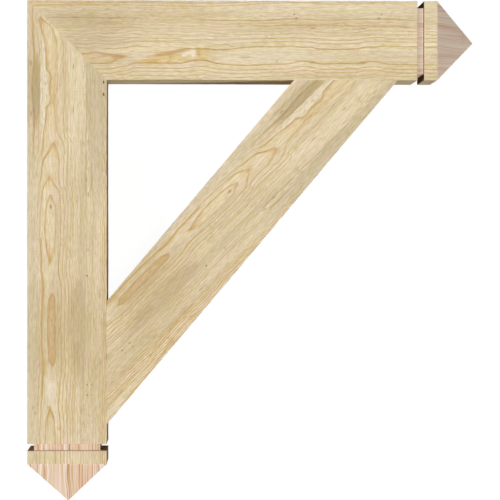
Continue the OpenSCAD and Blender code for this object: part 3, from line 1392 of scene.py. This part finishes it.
class Bracket:
    """The whole bracket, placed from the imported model's boxes.

    The post and the brace are sawn from like boards, and the brace's grain runs at 45 degrees in the bracket.

    Attributes:
        brace_lead: How far the brace's first arris starts before its head.
        grain_turn: The direction of the brace's grain.
        grain_over, grain_back: How far that grain's first arris lies from the brace's own.
    """

    brace_lead = 22 * MM
    grain_turn = -0.75 * math.pi
    grain_over, grain_back = 31.6 * MM, 4 * MM
    board_heart = HeartLine(
        ends=(57, 59.6, 62, 65.1, 68.25, 71.1, 74, 76.8),
        strengths=(0.65, 0.9, 0.8, 0.75, 0.75, 0.7, 0.5, 0.4),
        stations={
            0: (
                (371, 45, 45), (382, 39, 50.5), (400, 35, 55.5), (440, 32.8, 55), (470, 35, 53.5),
                (494, 39.5, 49.5), (508, 43.5, 43.5), (559, 48.3, 48.3), (576, 40.5, 54.5),
                (600, 38.5, 54.5), (632, 38, 54), (664, 38.5, 54.5), (688, 40.5, 54.5), (705, 48.6, 48.6),
                (780, 43.5, 43.5), (794, 38.5, 50.5), (820, 34.5, 54.5), (860, 33, 55),
            ),
            1: (
                (335, 43.5, 43.5), (348, 34.5, 50.5), (358, 30.5, 56), (535, 29, 63), (730, 29.2, 63.6),
                (758, 28, 62.4),
            ),
            2: (
                (272, 50, 50), (285, 42.5, 58), (300, 33.5, 59.6), (314, 28.3, 61.9),
            ),
            3: (
                (-60, 24, 28), (24, 24, 26), (45, 24, 42), (60, 26.5, 51), (80, 32.5, 57), (100, 35, 57.5),
                (131, 35.5, 57.5), (147, 43, 59), (169, 41, 59), (191, 43, 59), (206, 35.5, 57.5),
                (230, 34, 57.5), (250, 31, 59),
            ),
        },
    )
    arm_heart = HeartLine(
        ends=(53.9, 57, 60.4, 63.6, 67.8, 71.8, 75.5, 79),
        strengths=(0.95, 0.95, 0.9, 0.8, 0.65, 0.5, 0.4, 0.35),
        stations={
            0: (
                (0, 101, 122), (115, 102, 121.5), (129, 99.5, 122), (143, 102, 122), (160, 104, 121),
                (172, 105.5, 114.5), (194, 107.5, 107.5),
            ),
            1: (
                (208, 87, 121.5), (250, 88.5, 121.5), (275, 89, 122), (300, 91, 120.5), (330, 92, 116),
                (350, 92.5, 118.5), (380, 93, 123.5), (400, 91, 124.5), (440, 88.1, 124.5),
                (470, 87.3, 123.7), (500, 86.1, 122.5), (530, 87.5, 117.5), (560, 91.5, 122),
                (596, 92.5, 122), (632, 91.5, 122), (662, 87.5, 117.5), (692, 86.1, 122.5),
                (722, 87.3, 123.7), (860, 88.1, 124.5),
            ),
        },
    )
    # A patch's values are its colour, along, across, length, width, strength, hides_rings, crispness and
    # ragged. A thread's are its colour, course, strength and width. The last ones may be left out.
    board_patches = (
        Patch("c3ae86", 632, 95, 95, 19, 0.85, 0.2, 5, 0.2), Patch("ccb890", 632, 70, 100, 50, 0.62),
        Patch("ccb88e", 665, 133, 150, 21, 0.55), Patch("c9b68f", 632, 13, 100, 19, 0.78),
        Patch("d5c3a3", 520, 8, 560, 16, 0.55, 0.9, 4),
        Patch("b6a278", 170, 17, 74, 8.5, 0.85, 0.8, 7, 0.15),
        Patch("c4b086", 170, 4, 62, 7, 0.6, 0.6, 5, 0.2), Patch("d0b890", 40, 13, 34, 10, 0.45),
        Patch("d0be98", 470, 123, 100, 9, 0.5), Patch("cdb68e", 640, 59, 70, 8, 0.35),
        Thread("ad9158", ((62, 11), (110, 13), (170, 10), (230, 13), (268, 12)), 0.6, 3.4),
        Thread("a89264", ((128, 23), (170, 23.5), (208, 23)), 0.55, 2.4),
        Thread("a98c58", ((104, 1.5), (120, 1.5), (134, 2)), 0.5),
        Thread("a98c58", ((204, 2), (218, 1.5), (234, 1.5)), 0.5),
        Patch("cdbb98", 90, 133, 310, 20.5, 0.88, 0.8, 14, 0.08),
        Thread("b5a074", ((120, 114), (240, 113), (420, 112)), 0.55, 2.5),
        Patch("d9c7a4", 370, 137, 60, 14, 0.5), Patch("c3b088", 580, 106, 300, 7, 0.5, 0, 4),
        Patch("e8dabd", 169, 30, 75, 5, 0.85, 0.6, 5, 0.1),
        Patch("e8dabd", 169, 36, 28, 6, 0.85, 0.3, 5, 0.1),
        Patch("e3d1ac", 150, 92, 130, 20, 0.75, 0.9, 6, 0.2),
        Patch("e4cd9c", 160, 49, 75, 9, 0.45, 0.3, 4, 0.2),
        Patch("e0c898", 165, 57.5, 105, 3, 0.3, 0.65, 4), Patch("e2cc9e", 160, 68, 110, 6.5, 0.25, 0.5, 4),
        Patch("ead9b4", 425, 44, 42, 6, 0.55, 0.8), Patch("ead9b8", 470, 52, 70, 5, 0.4, 0.35, 4),
        Patch("e8dabc", 745, 44, 30, 12, 0.7, 0, 4, 0.2), Patch("dcc08c", 488, 45, 16, 5, 0.6, 0.3),
        Patch("d9b27c", 503, 42.5, 7, 4.5, 0.6), Patch("d8c29a", 390, 74, 110, 20, 0, 0.4, 2),
        Patch("c4a172", 632, 46.5, 68, 9, 0.5, 0.45, 5, 0.2), Patch("dcbc80", 281, 50, 15, 9, 0.55, 0.45),
        Patch("dfc08a", 346, 43, 14, 11, 0.55, 0.5),
        Thread("c89c56", ((287, 41), (300, 36), (313, 29)), 0.6, 3), Patch("cb9f6c", 782, 42.5, 5, 4, 0.7),
        Thread("c69c52", ((786, 46), (798, 51)), 0.65, 3),
        Thread("d8b878", ((690, 38), (703, 37), (716, 40)), 0.6, 3), Patch("c6b088", 770, 84, 60, 10, 0.45),
        Patch("b8965c", 781, 12, 4, 2, 0.6), Patch("b8965c", 791, 16.5, 4, 2, 0.6),
        Patch("b8965c", 775, 19.5, 3, 1.5, 0.5), Patch("c89c64", 803, 185, 20, 3, 0.7),
        Patch("c89c64", 680, 170, 15, 3, 0.6),
        Thread("c49852", ((455, 27), (500, 26.5), (560, 29.5), (632, 28), (700, 29.5),
            (760, 27)), 0.65, 2.8),
        Patch("e6d6b2", 820, 180, 90, 7.5, 0.6, 0.85, 4, 0.2, lean=0.12),
        Patch("d8c49c", 640, 66, 85, 6, 0.2, 0.35, 4), Patch("e6d4ac", 72, 41, 36, 12, 0.5, 0.4),
        Patch("d6c298", 165, 68.5, 95, 5.5, 0.35, 0, 4),
        Thread("c2a878", ((78, 73), (165, 73.5), (262, 73)), 0.5),
        Thread("f0e6d2", ((62, 26), (80, 29.5), (100, 32.5), (130, 33)), 0.6, 2.2),
        Thread("f0e6d2", ((208, 33), (240, 31.5), (262, 28.5), (280, 26)), 0.6, 2.2),
        Patch("c8a060", 580, 47, 14, 3.5, 0.45), Patch("c8a060", 684, 47, 14, 3.5, 0.45),
        Patch("b09468", 565, 139.5, 5, 1.5, 0.6), Patch("b09468", 695, 140.5, 5, 1.5, 0.6),
        Thread("c6a868", ((790, 132.5), (805, 135.5), (825, 139)), 0.5),
        Thread("b99e6a", ((606, 148.5), (632, 148), (660, 149)), 0.5),
        Thread("c69a52", ((595, 168), (613, 164), (647, 153), (676, 155), (707, 160), (737, 171),
            (784, 172), (828, 171), (855, 173)), 0.55, 2.4),
        Thread("c69a52", ((606, 157), (636, 150), (672, 150), (708, 155), (728, 162), (760, 166),
            (798, 164), (845, 163)), 0.45, 2.2),
        Thread("c69a52", ((602, 171), (631, 164), (669, 166), (694, 173), (721, 177), (749, 182),
            (798, 186), (832, 189)), 0.5, 2.2),
        Thread("c39a5c", ((8, 11), (60, 11), (110, 14), (150, 15)), 0.55),
        Thread("c39a5c", ((215, 13), (240, 14), (270, 12), (300, 12)), 0.55),
        Patch("3c3226", 157, 146.5, 3.2, 1.6, 0.95, 0, 4, 0),
        Patch("3c3226", 180.5, 146.5, 3.2, 1.6, 0.95, 0, 4, 0), Patch("a5895f", 127, 88.5, 6, 1.3, 0.6),
        Patch("a5895f", 210, 88.5, 6, 1.3, 0.6), Patch("a08358", 121, 7.5, 5, 1.8, 0.6),
        Patch("a08358", 217, 7.5, 5, 1.8, 0.6), Patch("8a6236", 396, 45.5, 5, 2.4, 0.7),
        Patch("c6a676", 280, 26, 24, 8, 0.3), Patch("c4aa7c", 645, 62, 75, 13, 0.28),
        Patch("c0a87c", 682, 94, 34, 9, 0.28), Patch("ecdcba", 522, 40, 16, 9, 0.35),
        Thread("a3865c", ((325, 123), (345, 124), (362, 123)), 0.65, 1.6),
        Patch("8f7a58", 372, 117, 6, 1.5, 0.55), Patch("8f7a58", 345, 113, 6, 1.5, 0.55),
        Patch("4c4334", 528, 114.5, 2.4, 1.4, 0.75, 0, 3, 0),
        Patch("4c4334", 737, 115, 1.8, 1.5, 0.6, 0, 3, 0),
        Patch("4c4334", 757, 115, 1.8, 1.5, 0.65, 0, 3, 0),
        Patch("6c6050", 737, 123, 1.8, 1.2, 0.45, 0, 3, 0),
        Patch("6c6050", 757, 123, 1.8, 1.2, 0.5, 0, 3, 0),
    )
    arm_patches = (
        Patch("c4b088", 125, 36, 105, 27, 0.75, 0.6, 2), Patch("cbb695", 112, 80, 82, 17, 0.75, 0.55, 4),
        Patch("c8b08c", 142, 113, 30, 13, 0.6, 0.2), Patch("b4935f", 88, 32.5, 3.5, 2, 0.6),
        Patch("b4935f", 175, 32.5, 3.5, 2, 0.6), Patch("b99a66", 109, 16.5, 3.5, 2, 0.5),
        Patch("b99a66", 154, 16.5, 3.5, 2, 0.5),
        Thread("b89468", ((92, 83), (112, 84.5), (130, 82), (148, 84.5), (168, 83)), 0.5),
        Patch("c4b08a", 122, 52, 66, 12, 0.45, 0, 4), Patch("cfb380", 480, 44, 330, 9, 0.4, 0, 2),
        Patch("ebdebf", 620, 16, 300, 14, 0.4, 0.5, 2), Patch("cdb588", 300, 27, 120, 13, 0.45),
        Patch("eadcbc", 500, 72, 400, 16, 0.4, 0, 2), Patch("d4be94", 545, 24, 95, 9, 0.5),
        Patch("e8dabc", 370, 78, 75, 9, 0.5, 0.45), Patch("e8dabc", 420, 66, 50, 6, 0.45, 0.4),
        Patch("d6c296", 480, 109, 40, 7, 0.45), Patch("d4c094", 690, 81, 45, 7, 0.5),
        Patch("d6be92", 590, 140, 100, 10, 0.5), Patch("eadcc0", 450, 107, 110, 14, 0.5, 0, 2),
        Patch("e6d2a2", 265, 92, 48, 6, 0.6, 0.85),
        Patch("dcc07c", 268, 111, 46, 10, 0.7, 0, 4, 0.2, lean=-0.1),
        Patch("cf9f58", 238, 117, 18, 4.5, 0.6),
        Patch("c4925a", 272, 101, 36, 4, 0.7, 0, 4, 0.3, lean=-0.17),
        Patch("b98a4c", 300, 94, 14, 2.5, 0.65, 0, 3, 0.3, lean=-0.15),
        Patch("d8ad68", 337, 98, 19, 7, 0.5), Patch("e0c088", 335, 110, 15, 8, 0.45),
        Patch("b98a4c", 328, 99, 4, 8, 0.5, lean=0.5),
        Patch("efe4cf", 307, 102, 13, 3.8, 0.95, 0, 5, 0.2, lean=-0.35),
        Patch("efe4cf", 317.5, 99.5, 5.5, 9.5, 0.95, 0, 4, 0.2),
        Patch("c99c6c", 177, 107.5, 15, 5, 0.7, 0.55),
        Thread("be925c", ((105, 103), (115, 101), (128, 98.5), (143, 101), (162, 104.5),
            (184, 107)), 0.6, 2.8),
        Patch("c4a27c", 418, 109, 12, 2.4, 0.6, 0, 3, 0.2), Patch("a8824e", 548, 119, 7, 2, 0.7),
        Patch("a8824e", 644, 119, 7, 2, 0.7), Patch("b08c58", 548, 53, 6, 2, 0.6),
        Patch("b08c58", 644, 53, 6, 2, 0.6), Patch("7a664a", 512, 26, 2, 1.6, 0.75, 0, 3, 0),
        Patch("7a664a", 516, 33.5, 2, 1.6, 0.75, 0, 3, 0), Patch("7a664a", 680, 26, 2, 1.6, 0.6, 0, 3, 0),
        Patch("7a664a", 675, 33.5, 2, 1.6, 0.75, 0, 3, 0),
        Thread("c29a5c", ((0, 4), (150, 4), (250, 3), (330, 5), (420, 3), (470, 1)), 0.6),
        Thread("cba368", ((10, 9), (130, 9), (250, 9), (310, 11), (400, 9), (500, 4), (560, 3)), 0.55),
        Thread("cba368", ((500, 2), (570, 6), (596, 7), (622, 6), (690, 2)), 0.45),
        Thread("a98a60", ((36, 34), (90, 33), (160, 34), (220, 34)), 0.6),
        Thread("b08a56", ((330, 36), (380, 38), (450, 38), (500, 35), (580, 37), (660, 35),
            (740, 37)), 0.6),
        Thread("c0944c", ((440, 50), (465, 49), (500, 47), (560, 47), (620, 48), (700, 49),
            (745, 52)), 0.6, 2.4),
        Thread("bda070", ((90, 74), (180, 72), (260, 77), (380, 74), (520, 72), (620, 75), (740, 72)), 0.4),
        Thread("bda070", ((90, 66), (180, 63), (260, 70), (380, 66), (520, 64), (620, 66),
            (740, 64)), 0.35),
    )
    arm_finishes = (
        SawnFir(young_latewood="e3c886", latewood="bd9550"),
        # The arm's planed colours are paler than the post's, partly as painted light that lifts its point,
        # which faces away from the key lamp.
        PlanedFir(ground="fff0d6", flushed="ffe2ca", stripe="d8a07a", pale="fff4e4", contrast=0.55),
        # The arm's end grain is far darker than the post's: painted shade for the walls of its groove.
        EndGrainFir(ground="785a44"),
    )

    def __init__(self) -> None:
        """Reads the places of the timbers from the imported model."""
        post_low, post_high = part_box("wall_post")
        _, arm_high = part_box("top_arm")
        brace_low, brace_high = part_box("brace")
        side, top = post_high.x - post_low.x, post_high.z
        corner = Vector((post_low.x, arm_high.y, 0.0))
        post_fit = Placement(corner, -math.pi / 2, 1, side, top)
        arm_fit = Placement(corner, 0.0, -1, side, top)
        post = Wood("wall_post", post_fit, post_fit, self.board_heart, self.board_patches, seed=1.0)
        arm = Wood("top_arm", arm_fit, arm_fit, self.arm_heart, self.arm_patches, seed=2.0)
        run = (brace_low - brace_high).xy
        slope = math.atan2(run.y, run.x)
        along = Vector((math.cos(slope), math.sin(slope), 0.0))
        over = Vector((-along.y, along.x, 0.0))
        start = Vector((brace_high.x, brace_high.y, 0.0)) - over * side - along * self.brace_lead
        grain_start = start + over * self.grain_over - along * self.grain_back
        brace_fit = Placement(start, slope, 1, side, top)
        grain = Placement(grain_start, self.grain_turn, 1, side, top)
        brace = Wood("brace", brace_fit, grain, self.board_heart, self.board_patches, seed=3.0)
        head = Vector((self.brace_lead, side, 0.0))
        foot = Vector((self.brace_lead + run.length, side, 0.0))
        self.timbers: tuple[Timber, ...] = (
            MitredTimber(post, length=corner.y - post_low.y),
            MitredTimber(arm, self.arm_finishes, length=arm_high.x - corner.x),
            BraceTimber(brace, head=head, foot=foot),
        )


@dataclass(frozen=True)
class SoftLamp:
    """A broad, far lamp.

    Attributes:
        name: What it is for.
        stands: The direction to it from the bracket.
        share: How much of the light on the show face it gives.
        spread: How wide it looks from the bracket, in degrees.
    """

    name: str
    stands: tuple[float, float, float]
    share: float
    spread: float

    def hang(self) -> None:
        """Hangs the lamp and points it at the bracket."""
        aim = Vector(self.stands).normalized()
        bpy.ops.object.light_add(type="SUN", location=aim)
        lamp = bpy.context.object
        lamp.name = f"studio_{self.name}"
        lamp.data.energy = self.share * math.pi / aim.z
        lamp.data.angle = math.radians(self.spread)
        lamp.rotation_euler = aim.to_track_quat("Z", "Y").to_euler()


@dataclass
class Studio:
    """A pale floor, soft lamps and the camera that looks down on the bracket.

    Attributes:
        stand_off: Height of the camera above the show face.
        camera_over, aim: What it stands over and points at, as shares of the bracket's width and length
            from its middle.
        lens: Its focal length in millimetres.
        lamps: The lamps.
        fill: Strength of the light from all round.
        floor_width: The side of the square floor.
        floor_bounce: How much light the floor throws back.
        floor_glow, full_light: How bright it looks in the shade and in full light, where 1 is white.
    """

    stand_off: float = 5.492
    camera_over: tuple[float, float] = (-0.1938, 0.0)
    aim: tuple[float, float] = (-0.0049, 0.0034)
    lens: float = 206.1
    lamps: tuple[SoftLamp, ...] = (
        SoftLamp("key", (-0.60, 0.0, 0.80), 0.30, 2.0),
        SoftLamp("overhead", (0.12, -0.02, 1.0), 0.380, 20.0),
        SoftLamp("front", (0.0, -0.92, 0.40), 0.138, 20.0),
        SoftLamp("back", (-0.10, 0.92, 0.40), 0.040, 30.0),
    )
    fill: float = 0.13
    floor_width: float = 60.0
    floor_bounce: float = 0.12
    floor_glow: float = 0.95
    full_light: float = 1.05

    def build(self) -> None:
        """Sets up the floor, the lamps, the world and the camera."""
        low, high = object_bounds()
        middle, span = ((low + high) / 2).xy.to_3d(), high - low
        self.lay_floor()
        for lamp in self.lamps:
            lamp.hang()
        self.light_world()
        place, target = (
            middle + Vector((share[0] * span.x, share[1] * span.y, height))
            for share, height in ((self.camera_over, high.z + self.stand_off), (self.aim, high.z))
        )
        self.set_camera(place, target)

    def lay_floor(self) -> None:
        """Lays the floor, which looks white and keeps a soft shadow."""
        bpy.ops.object.select_all(action="DESELECT")
        bpy.ops.mesh.primitive_plane_add(size=self.floor_width)
        floor = bpy.context.object
        floor.name = "studio_floor"
        material = bpy.data.materials.new("studio_floor")
        material.use_nodes = True
        nodes = material.node_tree.nodes
        sheet = NodeSheet(material.node_tree)
        nodes.remove(nodes["Principled BSDF"])
        bounce = sheet.add("ShaderNodeBsdfDiffuse", {"Color": grey(self.floor_bounce)}).outputs[0]
        lit = grey(self.full_light - self.floor_glow)
        shade = sheet.add("ShaderNodeBsdfDiffuse", {"Color": lit}).outputs[0]
        glow = sheet.add("ShaderNodeEmission", {"Color": grey(1.0), "Strength": self.floor_glow}).outputs[0]
        shown = sheet.add("ShaderNodeAddShader", {0: glow, 1: shade}).outputs[0]
        mixed = sheet.add("ShaderNodeMixShader", {0: self.seen(sheet), 1: bounce, 2: shown}).outputs[0]
        sheet.feed(nodes["Material Output"].inputs["Surface"], mixed)
        floor.data.materials.append(material)
        floor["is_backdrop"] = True

    @staticmethod
    def seen(sheet: NodeSheet) -> Socket:
        """Returns 1 for rays that show the studio, and 0 for rays that light it."""
        return sheet.add("ShaderNodeLightPath").outputs["Is Camera Ray"]

    def light_world(self) -> None:
        """Lights the studio evenly from all round."""
        world = bpy.data.worlds.new("studio_world")
        world.use_nodes = True
        bpy.context.scene.world = world
        sheet = NodeSheet(world.node_tree)
        background = world.node_tree.nodes["Background"].inputs
        sheet.feed(background["Strength"], sheet.line(self.seen(sheet), 1.0 - self.fill, self.fill))
        sheet.feed(background["Color"], grey(1.0))

    def set_camera(self, place: Vector, target: Vector) -> None:
        """Sets up the camera, with +Y up in its view.

        Args:
            place: Where it stands.
            target: What it points at.
        """
        bpy.ops.object.camera_add(location=place)
        camera = bpy.context.object
        camera.name = "studio_camera"
        camera.data.lens = self.lens
        back = (place - target).normalized()
        right = Vector((0.0, 1.0, 0.0)).cross(back).normalized()
        camera.rotation_euler = Matrix((right, back.cross(right), back)).transposed().to_euler()
        bpy.context.scene.camera = camera
        bpy.context.scene.view_settings.view_transform = "Standard"


def main() -> None:
    """Builds the bracket and the studio, and writes how large the model is."""
    logging.basicConfig(level=logging.INFO, format="%(message)s")
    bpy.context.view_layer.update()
    for timber in Bracket().timbers:
        piece = timber.make()
        LOG.info("%s: %d faces", piece.name, len(piece.data.polygons))
    Studio().build()


if __name__ == "__main__":
    main()
